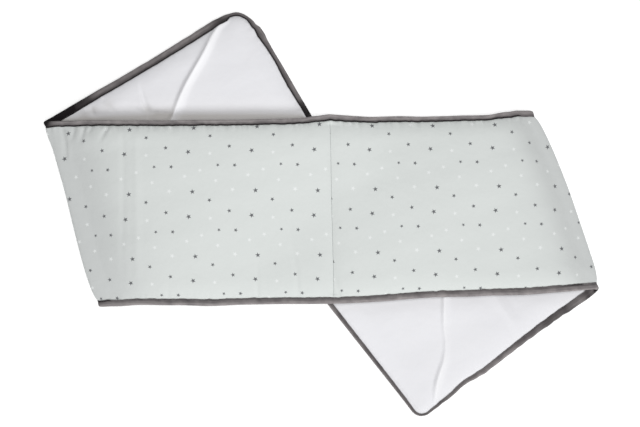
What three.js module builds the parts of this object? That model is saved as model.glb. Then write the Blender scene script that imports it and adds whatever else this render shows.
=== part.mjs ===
// Padded crib rail cover, 1.8 m long: a printed strip with a white lining and a grey bias binding,
// lying on a table with its printed side up and both ends folded under at a slant.
//
// Millimetres, +Z up, resting on z = 0. +X runs along the strip and +Y across it.
// The cover is described flat first: u runs along the strip from the centre seam, v across it, and
// w through it, from the middle of the padding towards the print. place() takes a flat point to
// where it lies.

import * as THREE from 'three';

// ---- driving dimensions -------------------------------------------------------------------------

const LENGTH = 1800;
const WIDTH = 336;
const PAD = 18;          // print, wadding and lining together, away from the edges
const GRIPPED = 3.2;     // the same layers where the binding grips them
const BARE = 20;         // from the outer edge to where the padding begins to swell
const SWELL = 30;        // and from there to its full thickness
const GAP = 0.3;         // between neighbouring pieces

// The binding is a tape folded over the raw edge; it covers a little more of the lining.
const TAPE = { thick: 1.2, overFace: 12, overLining: 14.5 };

// The two printed panels meet at the centre in a seam that dimples the padding.
const SEAM = { depth: 2.6, reach: 9 };

// At a fold, the thickness that the padding is squeezed to, and how far along the strip the fold's
// own curve and its widening fade out.
const FOLD = { pad: 12, curve: 220, widening: 300 };

// The two halves, as they lie.
// top, bottom: u of the fold on the two long edges.
// turn: radians by which the half is turned about the seam.
// reach: half the depth of the fold's loop, in plan.
// squeeze: how far from the fold the padding is squeezed.
// bow: how far the fold stands out at five places, evenly spaced from the bottom edge to the top.
// widen: of the strip at the fold, on each edge.
// drawTop, drawBottom: how far the long edges draw in.
// skew: how far the end is out of square.
// corner: the radius of the end's corners.
const HALVES = {
  left: {
    top: -498, bottom: -404, turn: -0.0035, reach: 20, squeeze: 45, bow: [3, 5.2, 2.2, -0.9, 5],
    widen: -4.4, drawTop: 6.8, drawBottom: 0.5, skew: 5, corner: 42,
  },
  right: {
    top: 387.5, bottom: 483.5, turn: 0.029, reach: 26, squeeze: 60, bow: [5.3, 6.2, 6.5, 2.6, -2.4],
    widen: -1.9, drawTop: 3.2, drawBottom: -1.4, skew: 11, corner: 22,
  },
};

// The upper layer lies on the folded ends and comes down to the table beside them.
const CLEAR = 0.7;       // between the upper layer and a folded end
const DRAPE = { inside: 80, outside: 200, round: 40 };
const SINK = 0.55;       // how far a thin edge drops from the middle of the pad to its underside,
const EDGE_HEIGHT = 3.2; // but it stays this high at the least, to clear the table with the tape on
const BEND = 120;        // from the seam to where each half has its full turn
const SKEW_LENGTH = 380; // over which a folded end goes out of square

// ---- small helpers ------------------------------------------------------------------------------

const halfLength = LENGTH / 2;
const halfWidth = WIDTH / 2;
const loopRise = (FOLD.pad + CLEAR) / 2;

const clamp01 = (x) => Math.min(1, Math.max(0, x));
const mix = (a, b, t) => a + (b - a) * t;
const bell = (x, reach) => Math.exp(-((x / reach) ** 2));

function smooth(from, to, x) {
  const t = clamp01((x - from) / (to - from));
  return t * t * (3 - 2 * t);
}

// ---- folds --------------------------------------------------------------------------------------

// Adds the length of a half's loop, and the line where it begins: its middle, outward normal, run
// and length. The strip goes on past the fold in the direction in which the fold mirrors it.
function withFold(half) {
  const side = Math.sign(half.top);
  const run = new THREE.Vector2(half.top - half.bottom, WIDTH);
  const length = run.length();
  run.normalize();
  const normal = new THREE.Vector2(side * run.y, -side * run.x);
  const loop = Math.PI * Math.hypot(half.reach, loopRise) / Math.SQRT2;
  const middle = (half.top + half.bottom) / 2 - (loop / 2) / normal.x;
  const onward = new THREE.Vector2(1 - 2 * normal.x ** 2, -2 * normal.x * normal.y);
  const bow = new THREE.SplineCurve(half.bow.map((out) => new THREE.Vector2(0, out)));
  return { ...half, side, run, normal, loop, middle, length, onward, bow };
}

const left = withFold(HALVES.left);
const right = withFold(HALVES.right);

// Distance past the start of a fold's loop, and the u that lies so far past it on a given row.
const pastFold = (fold, u, v) => fold.normal.x * (u - fold.middle) + fold.normal.y * v;
const foldU = (fold, v, past) => fold.middle + (past - fold.normal.y * v) / fold.normal.x;

// Distance inwards from the strip's outline, which has round corners; negative outside.
function fromEdge(fold, u, v) {
  const a = halfLength - Math.abs(u);
  const b = halfWidth - Math.abs(v);
  if (a < fold.corner && b < fold.corner) {
    return fold.corner - Math.hypot(fold.corner - a, fold.corner - b);
  }
  return Math.min(a, b);
}

// ---- thickness ----------------------------------------------------------------------------------

// Thickness of the padding well inside the edges: less where it bends round a fold.
function coreThickness(fold, u, v) {
  const fromLoop = pastFold(fold, u, v) - fold.loop / 2;
  return PAD - (PAD - FOLD.pad) * bell(fromLoop, fold.squeeze);
}

function thickness(fold, u, v) {
  const beside = clamp01((fromEdge(fold, u, v) - BARE) / SWELL);
  const swell = Math.sin(beside * Math.PI / 2);
  return mix(GRIPPED, coreThickness(fold, u, v), swell);
}

// ---- where a flat point lies --------------------------------------------------------------------

// How much of a folded end lies under a point of the upper layer: 1 over it, 0 clear of it.
// The bound edge is stiff, so it lies level across its width. The two distances to the folded
// end's edges are blended, which rounds the slope over its corner.
function support(fold, x, y) {
  const level = halfWidth - BARE;
  const acrossY = Math.min(level, Math.max(-level, y));
  const before = pastFold(fold, x, acrossY);
  const back = fold.loop - 2 * before;
  const fromEnd = halfLength - Math.abs(x + back * fold.normal.x);
  const fromSide = halfWidth - Math.abs(acrossY + back * fold.normal.y);
  const blended = Math.exp(-fromEnd / DRAPE.round) + Math.exp(-fromSide / DRAPE.round);
  const under = -DRAPE.round * Math.log(blended);
  return smooth(-DRAPE.outside, DRAPE.inside, under);
}

// Where v really lies: the long edges draw in a little between the seam and the fold, and the strip
// is a little narrower at the fold. along: 0 at the seam, 1 at the fold and beyond it.
function acrossStrip(fold, v, along, flatBack) {
  const depth = v > 0 ? fold.drawTop : fold.drawBottom;
  const drawn = Math.sign(v) * depth * Math.sin(Math.PI * along) * (v / halfWidth) ** 2;
  const widened = fold.widen * (v / halfWidth) * along * bell(flatBack, FOLD.widening);
  return v - drawn + widened;
}

function place(u, v, w) {
  const fold = u < 0 ? left : right;
  const past = pastFold(fold, u, v);
  const along = clamp01(u / foldU(fold, v, 0));
  const inLoop = clamp01(past / fold.loop);
  const angle = Math.PI * inLoop;
  const core = coreThickness(fold, u, v);
  const sunk = Math.min(SINK * (core - thickness(fold, u, v)) / 2, core / 2 - EDGE_HEIGHT);

  // In plan: out to the fold, round its loop, and back under.
  const flatBack = Math.max(0, past - fold.loop);
  const inward = Math.max(0, past) + flatBack - (fold.reach + w) * Math.sin(angle);
  const out = fold.side * fold.skew * (v / halfWidth) * clamp01(flatBack / SKEW_LENGTH);
  let x = u - inward * fold.normal.x + out * fold.onward.x;
  let y = acrossStrip(fold, v, along, flatBack) - inward * fold.normal.y + out * fold.onward.y;

  // In height: the upper layer, the lower layer, and the loop between them.
  const startX = u - Math.max(0, past) * fold.normal.x;
  const startY = v - Math.max(0, past) * fold.normal.y;
  const held = Math.max(support(left, startX, startY), support(right, startX, startY));
  const upper = (core + CLEAR) * held + core / 2 - sunk;
  const lower = core / 2 - sunk;
  const z = mix(upper, lower, (1 - Math.cos(angle)) / 2) + w * Math.cos(angle);

  // The fold bows outwards.
  const alongFold = (u - fold.middle) * fold.run.x + v * fold.run.y;
  const fromLoop = past < 0 ? past : flatBack;
  const bow = fold.bow.getPoint(clamp01(0.5 + alongFold / fold.length)).y;
  const outwards = bow * along * bell(fromLoop, FOLD.curve);
  x += outwards * fold.normal.x;
  y += outwards * fold.normal.y;

  // Each half is turned a little about the seam.
  const turn = fold.turn * smooth(0, BEND, Math.abs(u));
  return new THREE.Vector3(x - turn * y, y + turn * x, z);
}

// ---- stations along and across the strip --------------------------------------------------------

const panelInset = TAPE.thick + 2 * GAP;
const CORNER_STEPS = 5;
const LOOP_STEPS = 8;
const rowsFromEdge = [panelInset, TAPE.overFace, BARE, 27, 37, BARE + SWELL, halfWidth];
const seamStations = [4, 9, 16, 30];
const upperStations = [0.18, 0.34, 0.5, 0.64, 0.78, 0.9, 1];
const lowerStations = [0.1, 0.24, 0.42, 0.6, 0.8, 1];
const endStations = [100, BARE + SWELL, 30];

// One half's columns from the seam outwards, each a function of v that gives u.
function columns(fold, firstU) {
  const list = [() => fold.side * firstU];
  const lastSeam = seamStations.at(-1);
  for (const at of seamStations) {
    list.push(() => fold.side * at);
  }
  for (const part of upperStations) {
    list.push((v) => mix(fold.side * lastSeam, foldU(fold, v, 0), part));
  }
  for (let step = 1; step <= LOOP_STEPS; step += 1) {
    const past = fold.loop * step / LOOP_STEPS;
    list.push((v) => foldU(fold, v, past));
  }
  const nearEnd = fold.side * (halfLength - endStations[0]);
  for (const part of lowerStations) {
    list.push((v) => mix(foldU(fold, v, fold.loop), nearEnd, part));
  }
  for (const at of endStations.slice(1).filter((station) => station > fold.corner)) {
    list.push(() => fold.side * (halfLength - at));
  }
  return list;
}

// The last columns follow the round corners, so they also say how much shorter they are at each
// end. One of them is where the padding begins to swell.
function cornerColumns(fold) {
  const radius = fold.corner - panelInset;
  const insets = [panelInset, BARE, fold.corner];
  for (let step = 1; step < CORNER_STEPS; step += 1) {
    const inset = panelInset + radius * (1 - Math.cos(Math.PI / 2 * step / CORNER_STEPS));
    if (Math.abs(inset - BARE) > 3) {
      insets.push(inset);
    }
  }
  insets.sort((a, b) => b - a);
  return insets.map((inset) => {
    const cut = radius - Math.sqrt(radius ** 2 - (fold.corner - inset) ** 2);
    return { u: fold.side * (halfLength - inset), cut };
  });
}

// A grid of flat points for one half: columns outwards from the seam, rows from -v to +v.
function halfGrid(fold, firstU) {
  const lower = rowsFromEdge.map((inset) => inset - halfWidth);
  const upper = lower.slice(0, -1).reverse().map((v) => -v);
  const rows = [...lower, ...upper];
  const grid = columns(fold, firstU).map((column) => rows.map((v) => ({ u: column(v), v })));
  const reach = halfWidth - panelInset;
  for (const { u, cut } of cornerColumns(fold)) {
    grid.push(rows.map((v) => ({ u, v: v * (reach - cut) / reach })));
  }
  return grid;
}

// ---- closed shells ------------------------------------------------------------------------------

function shell(points, triangles) {
  const geometry = new THREE.BufferGeometry();
  const positions = points.flatMap((point) => point.toArray());
  geometry.setAttribute('position', new THREE.Float32BufferAttribute(positions, 3));
  geometry.setIndex(triangles);
  geometry.computeVertexNormals();
  return geometry;
}

const quad = (a, b, c, d) => [a, b, c, a, c, d];

// A layer of the pad between two surfaces over one grid; under and over give w at a flat point.
function layer(grid, under, over) {
  const across = grid[0].length;
  const count = grid.length * across;
  const flat = grid.flat();
  const points = [
    ...flat.map(({ u, v }) => place(u, v, under(u, v))),
    ...flat.map(({ u, v }) => place(u, v, over(u, v))),
  ];
  const at = (column, row) => column * across + row;
  const triangles = [];
  for (let i = 0; i < grid.length - 1; i += 1) {
    for (let j = 0; j < across - 1; j += 1) {
      const [a, b, c, d] = [at(i, j), at(i + 1, j), at(i + 1, j + 1), at(i, j + 1)];
      triangles.push(...quad(a, d, c, b));
      triangles.push(...quad(a + count, b + count, c + count, d + count));
    }
  }
  for (let i = 0; i < grid.length - 1; i += 1) {
    const [a, b] = [at(i, 0), at(i + 1, 0)];
    const [c, d] = [at(i, across - 1), at(i + 1, across - 1)];
    triangles.push(...quad(a, b, b + count, a + count));
    triangles.push(...quad(d, c, c + count, d + count));
  }
  for (let j = 0; j < across - 1; j += 1) {
    const [a, b] = [at(0, j), at(0, j + 1)];
    const [c, d] = [at(grid.length - 1, j), at(grid.length - 1, j + 1)];
    triangles.push(...quad(b, a, a + count, b + count));
    triangles.push(...quad(c, d, d + count, c + count));
  }
  return shell(points, triangles);
}

const topOfPad = (u, v) => thickness(u < 0 ? left : right, u, v) / 2;
const seamDimple = (u) => SEAM.depth * bell(u, SEAM.reach);

// ---- the pieces ---------------------------------------------------------------------------------

// A printed panel: the upper half of the padding, from the centre seam to one end.
function face(fold) {
  const grid = halfGrid(fold, GAP / 2);
  const ordered = fold.side < 0 ? grid.reverse() : grid;
  const over = (u, v) => {
    const top = topOfPad(u, v);
    return top - seamDimple(u) * Math.min(1, (top - GRIPPED / 2) / SEAM.depth);
  };
  return layer(ordered, () => GAP / 2, over);
}

// The lining: the lower half of the padding, in one length from end to end.
function lining() {
  const leftHalf = halfGrid(left, 0).reverse();
  const rightHalf = halfGrid(right, 0).slice(1);
  return layer([...leftHalf, ...rightHalf], (u, v) => -topOfPad(u, v), () => -GAP / 2);
}

// The tape's section: how far in from the outer edge, and its height from the pad's middle.
function tapeSection() {
  const inner = GRIPPED / 2 + GAP;
  const outer = inner + TAPE.thick;
  const round = 1.4;
  return [
    { inward: TAPE.overFace, rise: outer },
    { inward: round, rise: outer - round / 3 },
    { inward: 0, rise: outer / 3 },
    { inward: 0, rise: -outer / 3 },
    { inward: round, rise: -outer + round / 3 },
    { inward: TAPE.overLining, rise: -outer },
    { inward: TAPE.overLining, rise: -inner },
    { inward: TAPE.thick, rise: -inner },
    { inward: TAPE.thick, rise: inner },
    { inward: TAPE.overFace, rise: inner },
  ];
}

// Stations round the outline, anticlockwise from the seam; each gives the flat point so far inward.
function outline() {
  const edge = (fold, sign) => columns(fold, 0).map((column) => (inward) => {
    const v = sign * (halfWidth - inward);
    return { u: column(v), v };
  });
  const corner = (fold, sign) => {
    const list = [];
    for (let step = 0; step <= CORNER_STEPS; step += 1) {
      const turn = Math.PI / 2 * (1 - step / CORNER_STEPS);
      list.push((inward) => ({
        u: fold.side * (halfLength - fold.corner + (fold.corner - inward) * Math.cos(turn)),
        v: sign * (halfWidth - fold.corner + (fold.corner - inward) * Math.sin(turn)),
      }));
    }
    return list;
  };
  const end = (fold) => [-0.75, -0.35, 0, 0.35, 0.75].map((part) => (inward) => ({
    u: fold.side * (halfLength - inward),
    v: part * (halfWidth - fold.corner),
  }));
  return [
    ...edge(right, -1),
    ...corner(right, -1),
    ...end(right),
    ...corner(right, 1).reverse(),
    ...edge(right, 1).reverse(),
    ...edge(left, 1).slice(1),
    ...corner(left, 1),
    ...end(left).reverse(),
    ...corner(left, -1).reverse(),
    ...edge(left, -1).slice(1).reverse(),
  ];
}

// The binding: one length of tape all the way round.
function binding() {
  const section = tapeSection();
  const stations = outline();
  const points = stations.flatMap((station) => section.map(({ inward, rise }) => {
    const { u, v } = station(inward);
    return place(u, v, rise);
  }));
  const triangles = [];
  const at = (i, j) => (i % stations.length) * section.length + (j % section.length);
  for (let i = 0; i < stations.length; i += 1) {
    for (let j = 0; j < section.length; j += 1) {
      triangles.push(...quad(at(i, j), at(i, j + 1), at(i + 1, j + 1), at(i + 1, j)));
    }
  }
  return shell(points, triangles);
}

// ---- materials and assembly ---------------------------------------------------------------------

const cloth = (color) => new THREE.MeshStandardMaterial({ color, roughness: 0.9, metalness: 0 });
const printedCotton = cloth(0xd8ddda);
const whiteCotton = cloth(0xf0f0f3);
const greyTape = cloth(0x777274);

const cover = new THREE.Group();

function add(name, geometry, material) {
  const mesh = new THREE.Mesh(geometry, material);
  mesh.name = name;
  cover.add(mesh);
}

add('face_left', face(left), printedCotton);
add('face_right', face(right), printedCotton);
add('lining', lining(), whiteCotton);
add('binding', binding(), greyTape);

// The origin is under the middle of the whole cover.
const centre = new THREE.Box3().setFromObject(cover).getCenter(new THREE.Vector3());
for (const mesh of cover.children) {
  mesh.geometry.translate(-centre.x, -centre.y, 0);
}

export default cover;
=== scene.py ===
# %% [markdown]
# # A padded crib rail cover
#
# The object is a long padded strip of cloth, 1.8 m by 0.34 m. Its face is printed cotton with small
# scattered stars, its lining is plain white cotton, and a dark grey tape binds the edge all the way
# round. It lies printed side up on a table, with both ends folded under at a slant, so a triangle of
# the white lining shows at the top left and another at the bottom right.
#
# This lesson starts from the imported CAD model, which fixes where everything is. Each CAD solid is
# then replaced by a finer piece of cloth in the same place.

import math

import bpy
import numpy as np
from mathutils import Matrix, Vector


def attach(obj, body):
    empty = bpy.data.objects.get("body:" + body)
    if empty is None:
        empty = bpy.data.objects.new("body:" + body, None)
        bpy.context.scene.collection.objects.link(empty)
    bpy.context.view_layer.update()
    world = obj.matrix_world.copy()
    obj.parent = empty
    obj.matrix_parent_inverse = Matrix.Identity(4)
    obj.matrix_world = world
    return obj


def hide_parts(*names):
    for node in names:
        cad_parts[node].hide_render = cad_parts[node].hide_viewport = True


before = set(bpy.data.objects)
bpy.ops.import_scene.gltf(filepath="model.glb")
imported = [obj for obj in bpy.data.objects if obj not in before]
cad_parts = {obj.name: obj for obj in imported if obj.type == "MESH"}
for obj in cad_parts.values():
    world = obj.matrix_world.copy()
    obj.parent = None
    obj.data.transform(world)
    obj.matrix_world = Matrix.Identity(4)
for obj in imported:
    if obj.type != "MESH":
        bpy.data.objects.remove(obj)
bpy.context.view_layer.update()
print("CAD nodes:", sorted(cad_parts))

# %% [markdown]
# ## The strip, described flat
#
# A seamstress knows this cover as a flat strip, so it is described flat first: u runs along the
# strip from the centre seam, v across it, and w through it, from the middle of the padding towards
# the print. All of it is in millimetres. Each edge feature, crease or stitch is easy to place on a
# flat strip. One function, place(), then folds the strip and gives the place in the frame.

# %% Sizes of the strip
HALF_LENGTH = 900.0
HALF_WIDTH = 168.0
PAD = 18.0  # thickness of print, wadding and lining together
GRIPPED = 3.2  # the same layers where the binding grips them
SWELL = 36.0  # from where the padding begins to swell to its full thickness
SWELL_START = 2.2  # the swelling begins so far under the tape
GAP = 0.3  # between neighbouring pieces
SINK = 0.40  # how far a thin edge drops towards its underside
EDGE_HEIGHT = 3.4  # the middle of the edge stays this high above the table
CLEAR = 0.7  # between the upper layer and a folded end
DRAPE_OUTSIDE, DRAPE_INSIDE = 200.0, 80.0  # where the upper layer comes down from a folded end
DRAPE_ROUND = 40.0  # how rounded that slope is over the folded end's corner
DRAPE_EDGE = 20.0  # the slope stays level over this much of the strip's own edge
BLEND_POWER = 4  # how closely the two folded ends' slopes follow the higher of them
BEND = 120.0  # from the seam to where each half has its full turn
SKEW_LENGTH = 380.0  # over which a folded end goes out of square
SEAM_PLACE = (4.66, 3.57)  # of the strip's own origin, in the frame

FOLD_PAD = 4.5  # thickness of the padding where it is squeezed by the fold
LOOP_RISE = 6.35  # half the height of the fold's loop, as the CAD has it
CURVE_REACH = 220.0  # how far from a fold its bow is felt
WIDENING_REACH = 300.0  # how far along a folded end it is wider or narrower

# %% [markdown]
# The two halves differ a little, because the cover was folded by hand. For each half:
#
# - top, bottom: where the middle of the fold meets the two long edges;
# - turn: of the half about the seam; bow: how far the fold bulges, from its bottom end to its top;
# - reach: of the fold's loop; fill: what is added to it away from the strip's long edges;
# - squeeze: how far from the fold the padding is pinched;
# - widen, draw_top, draw_bottom, skew: how the edges are pushed out, pulled in or out of square;
# - corner: the corners' radius; wobble: small waves of the folded end's edges;
# - print_shift: how far the print slides across, for each mm that its surface is longer than flat;
# - fold_shade: how much painted shade greys the print at the fold, and how far from it.
#
# A separate program found the folds' places, the turns and how the edges are pushed or drawn, as a
# least-squares fit to the measured outline. They were then rounded, and some were corrected.

# %% The two halves and their folds
LEFT = {
    "side": -1, "top": -498, "bottom": -404, "turn": -0.0035,
    "bow": [3, 4.3, 5.2, 4, 2.2, 0.3, -0.2, -0.2, 5], "reach": 20, "fill": 5.4, "squeeze": 62,
    "widen": -4.4, "draw_top": 6.8, "draw_bottom": 0.5, "skew": 5, "corner": 42, "wobble": 0.1,
    "print_shift": 0.28, "fold_shade": (1.0, 85),
}
RIGHT = {
    "side": 1, "top": 387.5, "bottom": 483.5, "turn": 0.029,
    "bow": [5.3, 5.7, 6.4, 6.9, 7.3, 6.2, 3.8, -0.4, -2.4], "reach": 26, "fill": 7.3, "squeeze": 42,
    "widen": -1.9, "draw_top": 3.2, "draw_bottom": -1.4, "skew": 11, "corner": 22, "wobble": 0.45,
    "print_shift": -0.05, "fold_shade": (0.95, 62),
}
for half in (LEFT, RIGHT):
    run = np.array([half["top"] - half["bottom"], 2 * HALF_WIDTH])
    half["length"] = np.linalg.norm(run)
    half["run"] = run / half["length"]
    half["normal"] = half["side"] * np.array([half["run"][1], -half["run"][0]])
    nx, ny = half["normal"]
    half["loop"] = math.pi * math.hypot(half["reach"], LOOP_RISE) / math.sqrt(2)  # half an ellipse
    half["middle"] = (half["top"] + half["bottom"]) / 2 - half["loop"] / 2 / nx
    half["onward"] = np.array([1 - 2 * nx**2, -2 * nx * ny])
print("loop lengths at the folds, in mm:", [round(h["loop"], 1) for h in (LEFT, RIGHT)])


# %% [markdown]
# ## Small helpers
#
# Cloth is all soft transitions, so a few soft curves do most of the work: a blend, a bell, a smooth
# step and a curve through a short table. ripple() is a sum of a few sine waves with seeded phases.
# It looks irregular, as hand-sewn cloth does, and is the same every time.

# %% Helpers for soft shapes
def mix(a, b, t):
    return a + (b - a) * t


def bell(x, reach):
    return np.exp(-((x / reach) ** 2))


def smooth(start, end, x):
    t = np.clip((x - start) / (end - start), 0, 1)
    return t * t * (3 - 2 * t)


def curve_through(values, t):
    """A smooth curve through evenly spaced values, for t from 0 to 1."""
    values = np.asarray(values, float)
    last = len(values) - 1
    place_on = np.clip(t, 0, 1) * last
    i = np.minimum(np.floor(place_on).astype(int), last - 1)
    f = place_on - i
    before = values[np.maximum(i - 1, 0)]
    a, b = values[i], values[i + 1]
    after = values[np.minimum(i + 2, last)]
    slope_a, slope_b = (b - before) / 2, (after - a) / 2
    cubic = 2 * a - 2 * b + slope_a + slope_b
    square = -3 * a + 3 * b - 2 * slope_a - slope_b
    return cubic * f**3 + square * f**2 + slope_a * f + a


def ripple(s, seed, longest, shortest, waves=9):
    """Irregular waves of about unit height along s."""
    random = np.random.default_rng(seed)
    lengths = np.geomspace(longest, shortest, waves) * random.uniform(0.85, 1.15, waves)
    phases = random.uniform(0, 2 * math.pi, waves)
    total = sum(np.sin(2 * math.pi * s / length + p) for length, p in zip(lengths, phases))
    return total / math.sqrt(waves / 2)


def pick(name, u):
    """The named value of whichever half each u is on."""
    return np.where(u < 0, LEFT[name], RIGHT[name])


# %% [markdown]
# ## How wide the tape is
#
# The tape covers about 12 mm of the print. On the lining it varies, because it was sewn from the
# printed side: wide on one long edge, narrow at the ends. Its inner edge is a little wavy. Both the
# tape and the padding beside it need these widths, because the padding begins to swell under it.

# %% Places and waves beside the edges
OTHER_EDGE = 3000.0  # a shift along the waves, which gives the opposite edge its own
CORNER_BLEND = 12.0  # over which a long edge's values turn into a short edge's


def from_sides(u, v):
    """Distances inwards from the short edge and from the long edge."""
    return HALF_LENGTH - np.abs(u), HALF_WIDTH - np.abs(v)


def from_edge(u, v):
    """Distance inwards from the strip's outline, which has round corners."""
    a, b = from_sides(u, v)
    corner = pick("corner", u)
    in_corner = (a < corner) & (b < corner)
    return np.where(in_corner, corner - np.hypot(corner - a, corner - b), np.minimum(a, b))


def by_short_edge(u, v, blend=CORNER_BLEND):
    """From 0 beside a long edge to 1 beside a short one."""
    a, b = from_sides(u, v)
    return smooth(-blend, blend, b - a)


def edge_ripple(u, v, seed, waves, blend=CORNER_BLEND):
    """Irregular waves along all four edges, between the longest and the shortest of waves."""
    long_edge = ripple(u + OTHER_EDGE * (v > 0), seed, *waves)
    short_edge = ripple(v + OTHER_EDGE * (u > 0), seed + 1, *waves)
    return mix(long_edge, short_edge, by_short_edge(u, v, blend))


def table_at(table, x):
    """The table's value at x, in straight steps between its entries."""
    return np.interp(x, [entry[0] for entry in table], [entry[1] for entry in table])


# %% Widths of the tape
FACE_COVER = {"top": 12.0, "bottom": 11.8}
LINING_COVER_TOP = [  # u, and the width there
    (-900, 8), (-880, 8), (-868, 9), (-856, 15), (-800, 16), (-560, 16), (-480, 14), (900, 14),
]
LINING_COVER_BOTTOM = [
    (-900, 14), (540, 14.5), (610, 14), (705, 11.5), (790, 9.5), (840, 7), (870, 5.5), (900, 4.5),
]
LINING_COVER_ENDS = {  # v, and the width there
    "left": [
        (-168, 12), (-61, 10), (-5, 12), (20, 11), (47, 9), (75, 10), (101, 14), (120, 11), (140, 8),
    ],
    "right": [(-168, 4.5), (-118, 6), (60, 7.5), (168, 9)],
}
LIP_WAVE = {"face": 0.3, "lining": 0.12}  # how wavy the tape's inner edge is
LIP_SEED = {"face": 61, "lining": 71}
LIP_WAVES = (60, 11)


def lip_wave(u, v, layer):
    return LIP_WAVE[layer] * edge_ripple(u, v, LIP_SEED[layer], LIP_WAVES)


def face_cover(u, v):
    return np.where(v > 0, FACE_COVER["top"], FACE_COVER["bottom"]) + lip_wave(u, v, "face")


def lining_cover(u, v):
    long_edge = np.where(v > 0, table_at(LINING_COVER_TOP, u), table_at(LINING_COVER_BOTTOM, u))
    left_end, right_end = (table_at(LINING_COVER_ENDS[name], v) for name in ("left", "right"))
    cover = mix(long_edge, np.where(u < 0, left_end, right_end), by_short_edge(u, v))
    return cover + lip_wave(u, v, "lining")


# %% [markdown]
# ## Folding the strip
#
# place() takes strip points to the frame. Beyond each fold the strip mirrors over the fold line, and
# a half-round loop joins the two layers. The upper layer lies on the folded ends and comes down to
# the table beside them. This is the CAD's own way of folding, with some changes. The outline gets
# its small waves. The padding is pinched thinner at the folds, and to make up for that each loop is
# pushed outwards by its fill. The cloth turns through the loop at an eased pace, slow where it
# starts and ends, so that no kink shows beside the fold.

# %% The outline's waves
# u, or v along the end, and how far the edge stands out there. A separate program worked most of
# these out from the measured outline, and some were then corrected.
TOP_WAVES = [
    (-900, -2.0), (-885, -3.0), (-868, -4.2), (-850, -2.4), (-835, -0.8), (-815, -1.4), (-790, -2.6),
    (-708, -4.5), (-649, -4.6), (-591, -3.6), (-545, -3.2), (-467, -2.6), (-400, -1.8), (-317, -1.1),
    (-229, -0.2), (-144, -1.4), (-53, -2.5), (-28, 0.2), (0, 2.4), (30, 1.6), (50, 0.7), (80, -0.6),
    (130, 0.2), (185, -2.0), (240, -2.6), (296, -4.3), (333, -0.4), (357, 2.2), (430, 0.0),
]
END_WAVES = [
    (-30, 0), (38, 0.7), (60, 0.5), (85, 1.0), (100, 2.6), (112, 1.8), (124, -2.6), (142, -4.2),
    (168, -2.0),
]
BOTTOM_WAVES = [
    (-420, 1.0), (-374, 0.6), (-334, -1.3), (-273, 0.2), (-212, 2.4), (-149, 0.7), (-87, 0.0),
    (-24, -0.1), (78, -1.1), (167, -3.0), (257, -0.2), (348, 3.2), (403, 2.6), (480, 2.5), (506, 5.6),
    (540, 3.7), (576, 1.4), (631, 0.3), (687, 1.0), (741, 3.0), (795, -2.1), (852, 1.4),
]
WAVE_POWER, WOBBLE_POWER = 4, 9  # the higher, the closer the waves keep to the edge
WOBBLE_SEED, WOBBLE_WAVES = 91, (70, 22)
WOBBLE_START = 60.0  # the wobble grows to its full size so far past the loop
END_WAVE_REACH = 45.0  # how far from the end its waves are felt


def wave_at(waves, place_on):
    """How far an edge stands out, by smooth steps from one table entry to the next."""
    at = np.array([wave[0] for wave in waves])
    out = np.array([wave[1] for wave in waves])
    i = np.clip(np.searchsorted(at, place_on) - 1, 0, len(at) - 2)
    return mix(out[i], out[i + 1], smooth(at[i], at[i + 1], place_on))


# %% The folding function
def past_fold(u, v):
    """Distance past the start of the fold's loop."""
    nx = np.where(u < 0, LEFT["normal"][0], RIGHT["normal"][0])
    ny = np.where(u < 0, LEFT["normal"][1], RIGHT["normal"][1])
    return nx * (u - pick("middle", u)) + ny * v


def fold_u(half, v, past):
    """The u that lies so far past the start of a half's loop."""
    nx, ny = half["normal"]
    return half["middle"] + (past - ny * v) / nx


def core(u, v):
    """Thickness of the padding away from the edges: less where it bends round a fold."""
    from_loop = past_fold(u, v) - pick("loop", u) / 2
    return PAD - (PAD - FOLD_PAD) * bell(from_loop, pick("squeeze", u))


def pad_height(u, v, cover):
    """From the middle of the padding to its surface, beside a tape of that cover."""
    beside = np.clip((from_edge(u, v) - cover + SWELL_START) / SWELL, 0, 1)
    return mix(GRIPPED / 2, core(u, v) / 2, np.sqrt(1 - (1 - beside) ** 2))


def support(half, x, y):
    """How much of a folded end lies under a point of the upper layer, from 0 to 1."""
    nx, ny = half["normal"]
    level = HALF_WIDTH - DRAPE_EDGE
    y = np.clip(y, -level, level)
    back = half["loop"] - 2 * (nx * (x - half["middle"]) + ny * y)
    from_end, from_side = from_sides(x + back * nx, y + back * ny)
    under = -DRAPE_ROUND * np.log(np.exp(-from_end / DRAPE_ROUND) + np.exp(-from_side / DRAPE_ROUND))
    return smooth(-DRAPE_OUTSIDE, DRAPE_INSIDE, under)


def loop_turn(half, v, past):
    """The loop's reach, and how far the cloth has turned round it, from 0 to pi."""
    beside = np.clip((HALF_WIDTH - np.abs(v) - FACE_COVER["bottom"]) / SWELL, 0, 1)
    reach = half["reach"] + half["fill"] * np.sqrt(1 - (1 - beside) ** 2)
    turn_share = np.clip(past / half["loop"], 0, 1)
    ease = 1 - half["loop"] / (math.pi * (reach + FOLD_PAD / 2))
    return reach, math.pi * turn_share - ease / 2 * np.sin(2 * math.pi * turn_share)


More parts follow.
